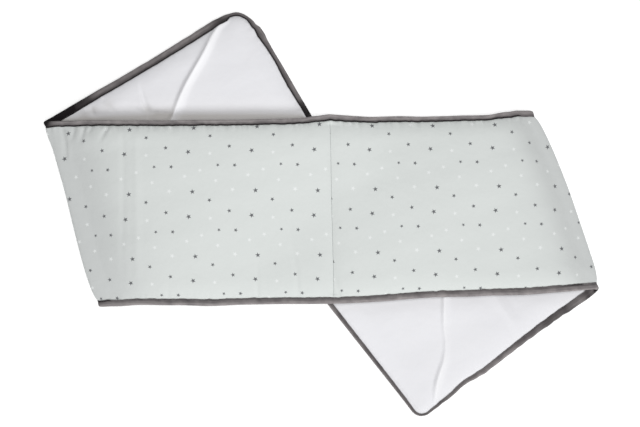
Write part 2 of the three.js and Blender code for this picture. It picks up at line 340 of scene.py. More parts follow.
def place_half(half, u, v, w):
    nx, ny = half["normal"]
    past = nx * (u - half["middle"]) + ny * v
    along = np.clip(u / fold_u(half, v, 0), 0, 1)
    reach, angle = loop_turn(half, v, past)
    turned = (1 - np.cos(angle)) / 2
    flat_back = np.maximum(0, past - half["loop"])
    before = np.maximum(0, past)

    # How far the edge drops: the underside is the lining first, and the print past the fold.
    thick = core(u, v)
    lower_cover = mix(lining_cover(u, v), face_cover(u, v), turned)
    sunk = SINK * (thick / 2 - pad_height(u, v, lower_cover))
    sunk = np.minimum(sunk, thick / 2 - EDGE_HEIGHT)

    # In plan: out to the fold, round its loop, and back under.
    part = v / HALF_WIDTH
    draw = np.where(v > 0, half["draw_top"], half["draw_bottom"])
    across = v - np.sign(v) * draw * np.sin(math.pi * along) * part**2
    across = across + half["widen"] * part * along * bell(flat_back, WIDENING_REACH)
    wave = np.where(v > 0, wave_at(TOP_WAVES, u), -wave_at(BOTTOM_WAVES, u))
    wobble = half["wobble"] * ripple(u + OTHER_EDGE * (v > 0), WOBBLE_SEED, *WOBBLE_WAVES)
    wobble = wobble * smooth(0, WOBBLE_START, flat_back)
    across = across + wave * part**WAVE_POWER + wobble * part**WOBBLE_POWER
    inward = before + flat_back - (reach + w) * np.sin(angle)
    out = half["side"] * half["skew"] * part * np.clip(flat_back / SKEW_LENGTH, 0, 1)
    if half["side"] < 0:
        out = out - wave_at(END_WAVES, v) * smooth(END_WAVE_REACH, 0, HALF_LENGTH - np.abs(u))
    x = u - inward * nx + out * half["onward"][0]
    y = across - inward * ny + out * half["onward"][1]

    # In height: the upper layer, the lower layer, and the loop between them.
    start_x, start_y = u - before * nx, v - before * ny
    both = [support(end, start_x, start_y) ** BLEND_POWER for end in (LEFT, RIGHT)]
    held = np.minimum(1, sum(both) ** (1 / BLEND_POWER))
    upper = (thick + CLEAR) * held + thick / 2 - sunk
    lower = thick / 2 - sunk
    z = mix(upper, lower, turned) + w * np.cos(angle)

    # The fold bows outwards, and each half is turned a little about the seam.
    along_fold = (u - half["middle"]) * half["run"][0] + v * half["run"][1]
    from_loop = np.where(past < 0, past, flat_back)
    bow = curve_through(half["bow"], 0.5 + along_fold / half["length"])
    bow = bow * along * bell(from_loop, CURVE_REACH)
    x, y = x + bow * nx, y + bow * ny
    turn = half["turn"] * smooth(0, BEND, np.abs(u))
    return x - turn * y, y + turn * x, z


def place(u, v, w):
    """Strip points, in millimetres, to points in the frame, in metres."""
    u, v, w = np.broadcast_arrays(*(np.asarray(a, float) for a in (u, v, w)))
    on_left = place_half(LEFT, u, v, w)
    on_right = place_half(RIGHT, u, v, w)
    x, y, z = (np.where(u < 0, a, b) for a, b in zip(on_left, on_right))
    return np.stack([x + SEAM_PLACE[0], y + SEAM_PLACE[1], z], axis=-1) / 1000


print("left fold, top corner:", place(LEFT["top"], HALF_WIDTH, 0).round(4))


# %% [markdown]
# ## Creases
#
# Each crease is a short line of points on the flat strip, with its height and its softness on either
# side at each point. A point of the cloth takes the height of the nearest place on the line, fading
# with distance. Even the two long ridges are only 5 to 6 mm high, the others are 1 to 4 mm, and all
# their sides are soft, because wadding doesn't crease hard. Most of their places were picked by eye
# and turned into strip places by a separate program; heights and softness were set by eye.

# %% Height of a crease
CREASE_SPREAD = 1.25
CREASE_FOOT = 0.14  # how soft the foot of a crease is
CREASE_END = (1.5, 3.0)  # in widths of the crease: past its line's end, it fades out between these


def crease_height(u, v, points):
    """Height of one crease. A point is u, v, height, width of its left side and of its right."""
    best = np.full(np.shape(u), np.inf)
    height = np.zeros(np.shape(u))
    for (ua, va, ha, la, ra), (ub, vb, hb, lb, rb) in zip(points, points[1:]):
        du, dv = ub - ua, vb - va
        length = math.hypot(du, dv)
        t = np.clip(((u - ua) * du + (v - va) * dv) / length**2, 0, 1)
        off_u, off_v = u - ua - t * du, v - va - t * dv
        distance = np.hypot(off_u, off_v)
        on_left = du * off_v - dv * off_u > 0
        reach = np.where(on_left, mix(la, lb, t), mix(ra, rb, t)) * CREASE_SPREAD
        slope = 1 - distance / reach
        here = mix(ha, hb, t) * (slope + np.sqrt(slope**2 + CREASE_FOOT**2)) / 2
        here = here * smooth(CREASE_END[1], CREASE_END[0], distance / reach)
        height = np.where(distance < best, here, height)
        best = np.minimum(best, distance)
    return height


def creases(table, u, v):
    return sum(crease_height(u, v, points) for points in table)


# %% The creases of the print and of the lining
# Points run along each crease; heights are towards the eye.
FACE_CREASES = [
    [(-366, 160, 0, 5, 5), (-363, 120, -1.0, 7, 6), (-361, 10, -1.0, 7, 6), (-361, -150, 0, 5, 5)],
    [(-343, 160, 0, 6, 6), (-341, 108, 1.2, 9, 8), (-337, -52, 1.0, 9, 8), (-336, -150, 0, 6, 6)],
    [(-78, 0, 0, 5, 5), (-72, -60, -0.6, 6, 6), (-65, -110, -1.2, 6, 6), (-62, -157, -1.3, 4, 4)],
    [(-133, -85, 0, 5, 5), (-133, -120, -0.8, 5, 5), (-132, -157, -1.3, 4, 4)],
    [(-286, -125, 0, 5, 5), (-286, -157, -1.2, 4, 4)],
    [(-466, 158, -3.2, 3, 3), (-466, 146, -4.2, 3, 4), (-464, 118, -3.6, 3, 4), (-462, 88, 0, 4, 5)],
    [(-486, 160, -2.0, 3, 3), (-485, 140, -3.6, 3, 4), (-481, 118, -3.0, 3, 4), (-476, 88, 0, 4, 5)],
    [(-444, 158, -2.6, 3, 3), (-448, 142, -2.6, 3, 4), (-454, 126, 0, 5, 5)],
    [(-427, 158, -3.0, 3, 3), (-431, 143, -3.0, 3, 4), (-440, 120, 0, 5, 5)],
    [(-414, 158, -2.0, 3, 3), (-419, 146, -1.8, 3, 4), (-426, 134, 0, 4, 4)],
    [(-385, 158, -3.4, 3, 3), (-393, 145, -3.2, 3, 4), (-406, 120, 0, 5, 5)],
    [(-95, 158, -1.2, 3, 3), (-93, 140, -0.8, 5, 5), (-90, 118, 0, 7, 7)],
    [(56, 158, -1.4, 4, 4), (56, 138, -0.9, 5, 5), (57, 105, 0, 7, 7)],
    [(11, -158, -1.4, 3, 3), (6, -138, -0.8, 4, 4), (2, -110, 0, 6, 6)],
    [(430, -100, 0, 9, 9), (450, -128, 0.9, 8, 8), (478, -150, 0.6, 6, 6), (490, -158, 0, 5, 5)],
]
RIDGES = [  # one long soft ridge on each folded end
    [(-864, 159, 1.0, 3, 4), (-855, 156, 3.8, 3, 6), (-837, 152, 5.6, 4, 7), (-819, 143, 6.2, 4, 8.5),
     (-801, 130, 6.4, 4, 9), (-779, 116, 6.4, 4, 9), (-758, 104, 6.4, 4, 9), (-738, 92, 6.2, 5, 9),
     (-718, 79, 5.8, 5, 9), (-688, 57, 4.8, 6, 10), (-650, 32, 0, 10, 12)],
    [(728, -12, 3.8, 4, 8), (747, -35, 4.4, 4, 8), (761, -54, 3.2, 4, 8), (775, -78, 2.6, 4, 7),
     (786, -92, 2.8, 4, 7), (802, -107, 3.8, 4, 8), (819, -118, 4.8, 4, 9), (834, -129, 5.0, 4, 9),
     (847, -142, 4.2, 4, 8), (857, -154, 1.8, 3, 6)],
]
LINING_CREASES = [
    *RIDGES,
    [(-671, 140, 0, 3, 4), (-664, 118, -2.0, 3, 5), (-657, 97, -3.0, 4, 6), (-652, 78, -2.6, 5, 7),
     (-648, 58, 0, 8, 8)],
    [(-655, 93, 0, 5, 5), (-662, 76, -3.0, 7, 6), (-675, 66, -3.0, 7, 6), (-692, 60, 0, 7, 7)],
    [(-628, 118, 0, 5, 6), (-640, 100, -2.2, 5, 7), (-650, 88, 0, 5, 6)],
    [(-580, 143, -1.6, 3, 3), (-571, 126, -2.4, 3, 4), (-562, 110, 0, 4, 4)],
    [(-560, 145, -2.2, 3, 3), (-556, 132, -2.2, 3, 4), (-548, 118, 0, 5, 5)],
    [(-604, 146, -1.8, 3, 4), (-606, 128, -1.6, 4, 4), (-608, 108, 0, 5, 5)],
    [(656, -60, 1.6, 12, 14), (657, -100, 2.0, 9, 14), (659, -150, 0, 7, 12)],
]


# %% [markdown]
# ## The surfaces of the padding
#
# The face is a curved surface over the wadding. It swells from the tape's stitches in a quarter
# round, dips at the centre seam, and puckers beside the stitches, where the tape holds it short. The
# lining is the same on its own side. These two functions say how high each surface stands above the
# middle of the padding, and the tape asks them too, so that it lies on the cloth. At a fold both
# surfaces are plain, and their creases and waves grow from there.

# %% Height of the face and of the lining
SEAM_DIP = 4.6
SEAM_REACH = {"left": 8.0, "right": 14.0}
DIP_START = 8.0  # the dip has its full depth so far from the tape
PUCKER = {"top": 1.3, "bottom": 0.4, "lining": 0.3}  # height of the puckers beside the tape
PUCKER_REACH = 5.5
PUCKER_WAVES, PUCKER_BLEND = (36, 8), 15.0
PUCKER_START, PUCKER_RISE = 2.0, 3.5  # they start so far under the tape, and rise over so much
PRESSED = {"left": 7.0, "right": 1.5}  # how deep the upper layer's edge presses into each folded end
PRESSED_REACH = 17.0  # outwards from that edge
PRESSED_UNDER = 3  # times as far, under the upper layer
PRESSED_START = (2, 16)  # from the folded end's own edge inwards
UNEVEN = 0.28  # height of the wadding's own long waves
UNEVEN_WAVES = ((260, 60), (240, 60))
UNEVEN_LEAN = (0.35, -0.2)
UNEVEN_START = (10, 60)
FADE_FINE, FADE_LONG = 9.0, 45.0  # creases and long waves grow to their full height from a fold
LEAST_HEIGHT = 1.2  # neither surface comes nearer to the middle of the padding
SEED = {"face": 11, "face, long": 21, "lining": 31, "lining, long": 41}


def puckers(u, v, cover, height, seed):
    """Short waves beside the stitches, across the tape."""
    inside = from_edge(u, v) - cover + PUCKER_START
    fade = smooth(0, PUCKER_RISE, inside) * np.exp(-np.maximum(0, inside) / PUCKER_REACH)
    return height * edge_ripple(u, v, seed, PUCKER_WAVES, PUCKER_BLEND) * fade


def uneven(u, v, seed):
    """Long shallow waves, as wadding is never quite even."""
    waves = ripple(u + UNEVEN_LEAN[0] * v, seed, *UNEVEN_WAVES[0])
    waves = waves + ripple(v + UNEVEN_LEAN[1] * u, seed + 1, *UNEVEN_WAVES[1])
    return UNEVEN * waves * smooth(*UNEVEN_START, from_edge(u, v))


def face_top(u, v):
    """Height of the printed side above the middle of the padding."""
    cover = face_cover(u, v)
    height = pad_height(u, v, cover)
    reach = np.where(u < 0, SEAM_REACH["left"], SEAM_REACH["right"])
    dip = SEAM_DIP * np.exp(-np.abs(u) / reach)
    before_fold = pick("loop", u) / 2 - past_fold(u, v)
    pucker = np.where(v > 0, PUCKER["top"], PUCKER["bottom"])
    fine = creases(FACE_CREASES, u, v) + puckers(u, v, cover, pucker, SEED["face"])
    height = height + fine * smooth(0, FADE_FINE, before_fold)
    height = height + uneven(u, v, SEED["face, long"]) * smooth(0, FADE_LONG, before_fold)
    return np.maximum(height - dip * smooth(0, DIP_START, from_edge(u, v) - cover), LEAST_HEIGHT)


def pressed(u, v):
    """How deep the upper layer's edge presses into a folded end, along the line where it lies."""
    past = past_fold(u, v)
    ny = np.where(u < 0, LEFT["normal"][1], RIGHT["normal"][1])
    y = v - (2 * past - pick("loop", u)) * ny
    beyond = np.where(u < 0, y, -y) - HALF_WIDTH
    depth = np.where(u < 0, PRESSED["left"], PRESSED["right"])
    depth = depth * smooth(*PRESSED_START, from_edge(u, v))
    return depth * bell(beyond, np.where(beyond > 0, PRESSED_REACH, PRESSED_UNDER * PRESSED_REACH))


def lining_drop(u, v):
    """The same for the lining, as a distance from the middle of the padding."""
    cover = lining_cover(u, v)
    height = pad_height(u, v, cover)
    past_loop = past_fold(u, v) - pick("loop", u)
    fine = creases(LINING_CREASES, u, v) - pressed(u, v)
    fine = fine + puckers(u, v, cover, PUCKER["lining"], SEED["lining"])
    height = height + fine * smooth(0, FADE_FINE, past_loop)
    height = height + uneven(u, v, SEED["lining, long"]) * smooth(0, FADE_LONG, past_loop)
    return np.maximum(height, LEAST_HEIGHT)


# %% [markdown]
# ## From a grid of strip points to a piece of cloth
#
# A piece is a closed shell between two surfaces over one grid of strip points. The grid is finest
# beside the tape and the seam, where the cloth curves most, and its columns lean with the folds, so
# that no quad crosses a fold. Closed shells have an inside and an outside, which keeps them real
# when they are measured or exported.

# %% The grid over one half of the strip
PANEL_INSET = 1.8  # the grid stops so far inside the outline, in the tape
EDGE_STEPS = [PANEL_INSET, 4.5, 7, 8.4, 9.3, 10, 10.7, 11.5, 12.4, 13.4, 14.6, 16, 17.8, 20, 22.6,
              25.8, 29.6, 34]
SEAM_STEPS = [0.8, 1.8, 3, 4.5, 6.3, 8.5, 11, 14, 18]
LOOP_STEPS = 24
SHOWN, HIDDEN = 2.5, 7.0  # spacing of the columns, in mm, where the cloth shows and where it doesn't
INNER_STEP = 4  # a hidden inner surface keeps every fourth column and row


def row_places(spacing):
    """v of every row, from the bottom edge to the top."""
    inner = HALF_WIDTH - EDGE_STEPS[-1]
    count = math.ceil(2 * inner / spacing)
    middle = np.linspace(-inner, inner, count + 1)
    edge = HALF_WIDTH - np.array(EDGE_STEPS[:-1])
    return np.concatenate([-edge, middle, edge[::-1]])


def column_functions(half, first, spacing, spacing_under):
    """Columns outwards from the seam to near the end; each gives u for any v."""
    side = half["side"]
    columns = [lambda v, at=at: side * at + 0 * v for at in [first, *SEAM_STEPS]]
    last_seam = side * SEAM_STEPS[-1]
    count = math.ceil(abs(half["middle"]) / spacing)
    for step in range(1, count + 1):
        columns.append(lambda v, t=step / count: mix(last_seam, fold_u(half, v, 0), t))
    for step in range(1, LOOP_STEPS + 1):
        past = half["loop"] * step / LOOP_STEPS
        columns.append(lambda v, past=past: fold_u(half, v, past))
    near_end = side * (HALF_LENGTH - max(EDGE_STEPS[-1], half["corner"] + 1))
    count = math.ceil((HALF_LENGTH - abs(half["middle"]) - half["loop"]) / spacing_under)
    for step in range(1, count + 1):
        columns.append(lambda v, t=step / count: mix(fold_u(half, v, half["loop"]), near_end, t))
    return columns


def half_grid(half, first, spacing, spacing_under):
    """u and v of a grid over one half: columns outwards from the seam, rows upwards."""
    rows = row_places(min(spacing, spacing_under))
    us = [column(rows) for column in column_functions(half, first, spacing, spacing_under)]
    vs = [rows] * len(us)
    reach = HALF_WIDTH - PANEL_INSET
    corner = half["corner"]
    radius = corner - PANEL_INSET
    steps = [s for s in EDGE_STEPS if s < corner]
    more = np.arange(steps[-1] + spacing_under, corner, spacing_under)
    for inset in [*steps, *more][::-1]:
        cut = radius - math.sqrt(max(0, radius**2 - (corner - inset) ** 2))
        us.append(np.full(len(rows), half["side"] * (HALF_LENGTH - inset)))
        vs.append(rows * (reach - cut) / reach)
    return np.array(us), np.array(vs)


# %% Building meshes
def make_mesh(name, points, faces, uv=None, shade=None):
    """A smooth mesh object from points in metres. uv and shade have one entry per point."""
    mesh = bpy.data.meshes.new(name)
    mesh.from_pydata(points.tolist(), [], faces.tolist() if hasattr(faces, "tolist") else faces)
    if uv is not None:
        layer = mesh.uv_layers.new(name="cloth")
        loops = np.zeros(len(mesh.loops), np.int32)
        mesh.loops.foreach_get("vertex_index", loops)
        layer.data.foreach_set("uv", uv[loops].astype(np.float32).ravel())
    if shade is not None:
        mesh.attributes.new("shade", "FLOAT", "POINT").data.foreach_set("value", shade.ravel())
    mesh.update()
    mesh.shade_smooth()
    piece = bpy.data.objects.new(name, mesh)
    bpy.context.scene.collection.objects.link(piece)
    triangles = sum(len(p.vertices) - 2 for p in mesh.polygons)
    print(f"{name}: {len(mesh.vertices)} points, {triangles} triangles")
    return piece


def strip_faces(columns, rows):
    """Quads over a grid whose points run row by row within each column."""
    i, j = np.meshgrid(np.arange(columns - 1), np.arange(rows - 1), indexing="ij")
    a = (i * rows + j).ravel()
    return np.stack([a, a + rows, a + rows + 1, a + 1], axis=1)


def cloth_shell(name, u, v, inner, outer, uv, shade):
    """A closed shell over a grid of strip points, u rising with the column.

    outer is the height of the surface that shows. The surface at the height inner is hidden
    against another piece, so it keeps only every few columns and rows.
    """
    columns, rows = u.shape
    keep = [np.unique(np.append(np.arange(0, count, INNER_STEP), count - 1)) for count in u.shape]
    chosen = np.ix_(*keep)
    points = np.concatenate([
        place(u, v, outer).reshape(-1, 3),
        place(u[chosen], v[chosen], inner).reshape(-1, 3),
    ])
    outer_faces = strip_faces(columns, rows)
    inner_faces = strip_faces(len(keep[0]), len(keep[1]))[:, ::-1] + u.size

    def ring(across, up, number):
        """The grid's border, anticlockwise, as point numbers, for the chosen columns and rows."""
        return np.concatenate([
            number[across, 0], number[-1, up[1:]], number[across[::-1][1:], -1],
            number[0, up[::-1][1:-1]],
        ])

    number = np.arange(u.size).reshape(u.shape)
    border = ring(np.arange(columns), np.arange(rows), number)
    kept = ring(keep[0], keep[1], number)
    small = np.arange(len(keep[0]) * len(keep[1])).reshape(len(keep[0]), len(keep[1])) + u.size
    inner_ring = ring(np.arange(len(keep[0])), np.arange(len(keep[1])), small)
    where = {point: k for k, point in enumerate(border)}
    wall = []
    for k in range(len(kept)):
        after = (k + 1) % len(kept)
        start, end = where[kept[k]], where[kept[after]]
        end = end if end > start else end + len(border)
        edge = [border[n % len(border)] for n in range(start, end + 1)]
        wall.append([inner_ring[k], inner_ring[after], *edge[::-1]])
    if np.mean(outer) < 0:  # the outside is below: every face turns over
        outer_faces, inner_faces = outer_faces[:, ::-1], inner_faces[:, ::-1]
        wall = [face[::-1] for face in wall]
    faces = [*outer_faces.tolist(), *inner_faces.tolist(), *wall]
    shell_uv = np.concatenate([uv.reshape(-1, 2), uv.reshape(*u.shape, 2)[chosen].reshape(-1, 2)])
    shell_shade = np.concatenate([shade.ravel(), shade[chosen].ravel()])
    return make_mesh(name, points, faces, shell_uv, shell_shade)


# %% [markdown]
# ## The printed panels
#
# The face is two panels that meet in a seam across the middle. Their UV map says where each point is
# on the printed cloth, so one material serves both. Printed cloth keeps its length when it swells
# over wadding, so the distance along the print is measured on the curved surface itself. Six numbers
# for each direction, from a constant to a square, then say where the print lies on a panel. A
# separate program found these 24 numbers, as a least-squares fit to measured stars, and one was
# then corrected.
#
# Each piece of cloth also has one number per point, its "shade", for painted shade in its colour:
# a panel's is highest at the fold, where painted shade makes the print greyest.

# %% The two printed panels
PRINT = {  # in mm: a constant, then parts with x, y, xy, yy and xx
    "left": {
        "along": [364.06, 300.45, -0.28, -4.54, -6.95, -2.61],
        "across": [11.9, 6.5, 169.44, 0.84, -4.9, 8.59],
    },
    "right": {
        "along": [-72.21, 307.03, 1.42, -1.5, 1.15, -8.14],
        "across": [9.8, 5.9, 171.36, -2.85, -4.4, 2.14],
    },
}
PRINT_UNITS = (300.0, 168.0)  # x and y are 1 at these distances


def print_uv(half, u, v, lay):
    """Where each grid point is on the printed cloth, in metres from one star."""
    surface = place(u, v, pad_height(u, v, face_cover(u, v))) * 1000
    steps = np.linalg.norm(np.diff(surface, axis=0), axis=2)
    run = half["side"] * np.concatenate([np.zeros((1, u.shape[1])), np.cumsum(steps, axis=0)])
    x = run / PRINT_UNITS[0]
    y = (v + (run - u) * half["print_shift"]) / PRINT_UNITS[1]
    terms = np.stack([np.ones_like(x), x, y, x * y, y * y, x * x], axis=-1)
    return np.stack([terms @ lay["along"], terms @ lay["across"]], axis=-1) / 1000


def panel(name, half, lay):
    u, v = half_grid(half, GAP / 2, SHOWN, HIDDEN)
    uv = print_uv(half, u, v, lay)
    if half["side"] < 0:
        u, v, uv = u[::-1], v[::-1], uv[::-1]
    # Painted shade: the print is mixed greyer towards the fold.
    amount, reach = half["fold_shade"]
    shade = amount * bell(past_fold(u, v) - half["loop"] / 2, reach)
    return cloth_shell(name, u, v, GAP / 2, face_top(u, v), uv, shade)


panel_left = panel("panel_left", LEFT, PRINT["left"])
panel_right = panel("panel_right", RIGHT, PRINT["right"])

# %% [markdown]
# ## The lining
#
# The lining is one length of white cotton from end to end. Most of it is hidden; its two ends show,
# turned up, with the creases that the folding left in them. Its shade is above 0 where painted
# shadow darkens the cloth: along the line where the upper layer's edge presses on it, and in a few
# creases. It is below 0 where a painted highlight brightens the bright side of the two long ridges.

# %% The lining's grid
left_u, left_v = half_grid(LEFT, 0, HIDDEN, SHOWN)
right_u, right_v = half_grid(RIGHT, 0, HIDDEN, SHOWN)
lining_u = np.concatenate([left_u[::-1], right_u[1:]])
lining_v = np.concatenate([left_v[::-1], right_v[1:]])
lining_uv = np.stack([lining_u, lining_v], axis=-1) / 1000
print("grid of the lining:", lining_u.shape)

# %% The lining's painted shadow and highlight, and the lining
LINE_SOFT, LINE_HARD = 0.25, 0.7  # painted shadow beside the upper layer's edge: a wide part and a narrow
LINE_POWER = 10  # the higher, the narrower the second part is
RIDGE_HEIGHT = 7.5  # a ridge so high would get the full painted highlight
RIDGE_DARK_SIDE, RIDGE_BRIGHT_SIDE = 0.8, 1.3  # width of its dark side, and share of the side with the painted highlight
CREASE_PAINTED_SHADE = [  # painted shade in creases: u, v, reach and darkness
    (-655, 88, 8, 0.35), (-664, 73, 9, 0.4), (-678, 65, 9, 0.35), (-694, 60, 9, 0.2),
    (-560, 138, 9, 0.35), (-582, 138, 8, 0.35), (-606, 132, 10, 0.25),
]
# Painted shadow along the line where the upper layer's edge lies on the lining
near_line = pressed(lining_u, lining_v) / PRESSED["left"]
lining_shade = LINE_SOFT * np.sqrt(near_line) + LINE_HARD * near_line**LINE_POWER
# Painted shade in the lining's creases
for at_u, at_v, reach, amount in CREASE_PAINTED_SHADE:
    lining_shade = lining_shade + amount * bell(np.hypot(lining_u - at_u, lining_v - at_v), reach)
# Painted highlight on the bright side of each long ridge
for ridge in RIDGES:
    highlight_side = [(at_u, at_v, height, RIDGE_DARK_SIDE, RIDGE_BRIGHT_SIDE * right)
              for at_u, at_v, height, _, right in ridge]
    lining_shade = lining_shade - crease_height(lining_u, lining_v, highlight_side) / RIDGE_HEIGHT
lining = cloth_shell(
    "lining_sheet", lining_u, lining_v, -GAP / 2, -lining_drop(lining_u, lining_v), lining_uv,
    np.clip(lining_shade, -1, 1),
)

# %% [markdown]
# ## The binding
#
# The binding is one bias tape, folded over the raw edge and stitched through everything. Its section
# is drawn once: a rounded outer edge, a slightly full top, a dip at the stitches and a thin lip. The
# section is then carried round the outline and laid on the padding at every station, so the tape
# rises and puckers with it. Its shade is painted shade: it darkens the tape beside its inner lip,
# which lies in the hollow of the swelling padding, where it is bunched up at the folds and where it
# runs under the upper layer. Along parts of the folded ends it mixes in a darker tone.

# %% Stations round the outline
def outline(spacing=2.6):
    """Stations anticlockwise from the seam; each turns a distance inwards into a strip point."""
    stations = []

    def along_edge(half, sign, skip, reverse):
        columns = column_functions(half, 0, spacing, spacing)[skip:]
        for column in columns[::-1] if reverse else columns:
            def station(inward, column=column):
                v = sign * (HALF_WIDTH - inward)
                return column(v), v
            stations.append(station)

    def round_corner(half, sign, reverse):
        steps = max(10, round(half["corner"] * math.pi / 2 / spacing))
        angles = math.pi / 2 * (1 - np.arange(steps + 1) / steps)
        for angle in angles[::-1] if reverse else angles:
            def station(inward, c=math.cos(angle), s=math.sin(angle)):
                centre_u = HALF_LENGTH - half["corner"]
                centre_v = HALF_WIDTH - half["corner"]
                radius = half["corner"] - inward
                return half["side"] * (centre_u + radius * c), sign * (centre_v + radius * s)
            stations.append(station)

    def along_end(half, upwards):
        straight = HALF_WIDTH - half["corner"]
        places = np.linspace(-straight, straight, round(2 * straight / spacing))[1:-1]
        for v in places if upwards else places[::-1]:
            def station(inward, v=v):
                return half["side"] * (HALF_LENGTH - inward), v + 0 * inward
            stations.append(station)

    for half, sign, skip in ((RIGHT, -1, 0), (LEFT, 1, 1)):
        along_edge(half, sign, skip, False)
        round_corner(half, sign, False)
        along_end(half, sign < 0)
        round_corner(half, -sign, True)
        along_edge(half, -sign, skip, True)
    return stations


# %% The tape's section
TAPE_THICK = 1.0
TAPE_OFF = 0.2  # between the tape and the cloth
TAPE_ROLL = 2.4  # how far in the outer edge's round begins
LIP = [(0.0, 0.45), (0.1, 0.8), (0.45, 1.0), (1.1, 1.0), (1.5, 0.85), (1.8, 0.72), (2.1, 0.85),
       (2.6, 1.1), (3.2, 1.25)]  # distance from the lip, and rise
FULLNESS = [(0.25, 1.45), (0.5, 1.8), (0.75, 2.05), (1.0, 1.95)]  # share of the rest, and rise
EDGE_POINTS = 9  # points round the outer edge
NARROW = 7.0  # a tape narrower than this has its section squeezed to fit
INNER_LIP, INNER_SHARES, INNER_EDGE = 0.1, (0.85, 0.6), 1.2  # points of the side towards the cloth


def tape_layer(station, cover, height):
    """Outer points of one layer of tape, from its lip to where the edge's round begins."""
    fit = min(1, cover / NARROW)
    from_lip = np.array([lip[0] for lip in LIP]) * fit
    room = cover - from_lip[-1] - TAPE_ROLL * fit
    wide = cover - from_lip[-1] - room * np.array([step[0] for step in FULLNESS])
    inward = np.concatenate([cover - from_lip, wide])
    rise = np.array([step[1] for step in (*LIP, *FULLNESS)]) * TAPE_THICK
    u, v = station(inward)
    return inward, height(u, v) + TAPE_OFF + rise


def tape_inside(station, cover, height):
    """Points of the side towards the cloth, from the lip outwards."""
    inward = np.array([cover - INNER_LIP, *(cover * share for share in INNER_SHARES), INNER_EDGE])
    u, v = station(inward)
    return inward, height(u, v) + TAPE_OFF


def tape_section(station):
    """The whole section at a station: how far in, and how high, going round it."""
    u, v = station(0.0)
    top_in, top_rise = tape_layer(station, float(face_cover(u, v)), face_top)
    low_in, low_rise = tape_layer(station, float(lining_cover(u, v)), lining_drop)
    angles = np.linspace(0, math.pi, EDGE_POINTS + 2)[1:-1]
    edge_rise = np.cos(angles)
    edge_rise = np.where(edge_rise > 0, edge_rise * top_rise[-1], edge_rise * low_rise[-1])
    roll = np.where(edge_rise > 0, top_in[-1], low_in[-1])
    edge_in = roll * (1 - np.sin(angles))
    low_inside, low_height = tape_inside(station, low_in[0], lining_drop)
    top_inside, top_height = tape_inside(station, top_in[0], face_top)
    return (
        np.concatenate([top_in, edge_in, low_in[::-1], low_inside, top_inside[::-1]]),
        np.concatenate([top_rise, edge_rise, -low_rise[::-1], -low_height, top_height[::-1]]),
    )


# %% The tape's points and faces
stations = outline()
sections = [tape_section(station) for station in stations]
tape_in = np.array([section[0] for section in sections])
tape_rise = np.array([section[1] for section in sections])
tape_u, tape_v = (
    np.array([station(inward)[k] for station, inward in zip(stations, tape_in)]) for k in (0, 1)
)
tape_points = place(tape_u, tape_v, tape_rise)
count, around = tape_in.shape
tape_a = np.arange(count * around).reshape(count, around)
tape_next = np.roll(tape_a, -1, axis=0)
tape_faces = np.stack(
    [tape_a, np.roll(tape_a, -1, axis=1), np.roll(tape_next, -1, axis=1), tape_next], axis=-1
).reshape(-1, 4)
print("stations round the outline:", count, "with", around, "points each")

# %% The tape's painted shade, and the tape
LIP_SHADE = (2.4, 3.8)  # painted shade darkens the tape up to this far from its lip, and fades out to this
# How strong the lip's painted shade is on each edge: strongest where the padding's swell shades it
LIP_DARK = {"top": 0.93, "bottom": 0.35, "left end": 0.85, "right end": 0.2}
LIP_DARKER = (0.5, 395, 440)  # added on the bottom edge's right part, and where it begins
INNER_SHADE = (3.0, 10.5)  # the same painted shade for its inner half
INNER_DARK = 0.42
# Painted shade where the tape is bunched up at the folds' corners, where a ridge meets it and where
# it runs under the upper layer; darker tone along the rest of the folded ends.
PAINTED_SHADE_AND_TONE = [  # u, v, reach and darkness of painted shade and darker tone
    (-497, 168, 13, 1.8), (-532, 168, 26, 2.4), (-572, 168, 30, 0.9), (-650, 168, 80, 0.3),
    (-760, 168, 80, 0.25), (-848, 158, 16, 0.6), (-850, 168, 60, 0.3), (-900, 120, 40, 0.2),
    (-900, 60, 60, 0.25), (-900, 0, 40, 0.3), (-900, -50, 16, 0.8), (-900, -66, 16, 1.0),
    (487, -166, 5, 1.4), (505, -168, 16, 0.8), (560, -168, 26, 0.6), (600, -168, 24, 0.65),
    (655, -168, 30, 0.35), (900, -60, 60, 0.15),
]


def darken(shade, amount):
    """A shade with a further darkening laid over it."""
    return 1 - (1 - shade) * (1 - amount)


lower_lip = 2 * len(LIP) + 2 * len(FULLNESS) + EDGE_POINTS - 1
top_half = np.arange(around) < lower_lip / 2
from_lip = np.where(top_half, tape_in[:, :1], tape_in[:, [lower_lip]]) - tape_in
folded_under = past_fold(tape_u, tape_v) > 0
added, added_from, added_to = LIP_DARKER
bottom_dark = LIP_DARK["bottom"] + added * smooth(added_from, added_to, tape_u)
lip_dark = np.where(tape_v > 0, LIP_DARK["top"], bottom_dark)
lip_dark = np.where(folded_under & (tape_u < 0), LIP_DARK["left end"], lip_dark)
lip_dark = np.where(folded_under & (tape_u > 0), LIP_DARK["right end"], lip_dark)
tape_shade = lip_dark * smooth(LIP_SHADE[1], LIP_SHADE[0], from_lip)
tape_shade = darken(tape_shade, INNER_DARK * smooth(INNER_SHADE[1], INNER_SHADE[0], from_lip))
for at_u, at_v, reach, amount in PAINTED_SHADE_AND_TONE:
    spot = amount * bell(np.hypot(tape_u - at_u, tape_v - at_v), reach)
    tape_shade = darken(tape_shade, np.minimum(1, spot))
steps_along = np.linalg.norm(np.diff(tape_points[:, 0], axis=0), axis=1)
run_along = np.concatenate([[0], np.cumsum(steps_along)])
tape_uv = np.stack([np.repeat(run_along, around), tape_in.ravel() / 1000], axis=1)
tape = make_mesh("binding_tape", tape_points.reshape(-1, 3), tape_faces, tape_uv, tape_shade)
print("tape length:", round(run_along[-1], 2), "m")

# %% [markdown]
# ## The stitches
#
# A row of machine stitches holds each layer of the tape. One stitch is a tiny spindle of 16
# triangles. Copies of it follow the dip in the tape, 3.2 mm apart, on the printed side and on the
# lining side.

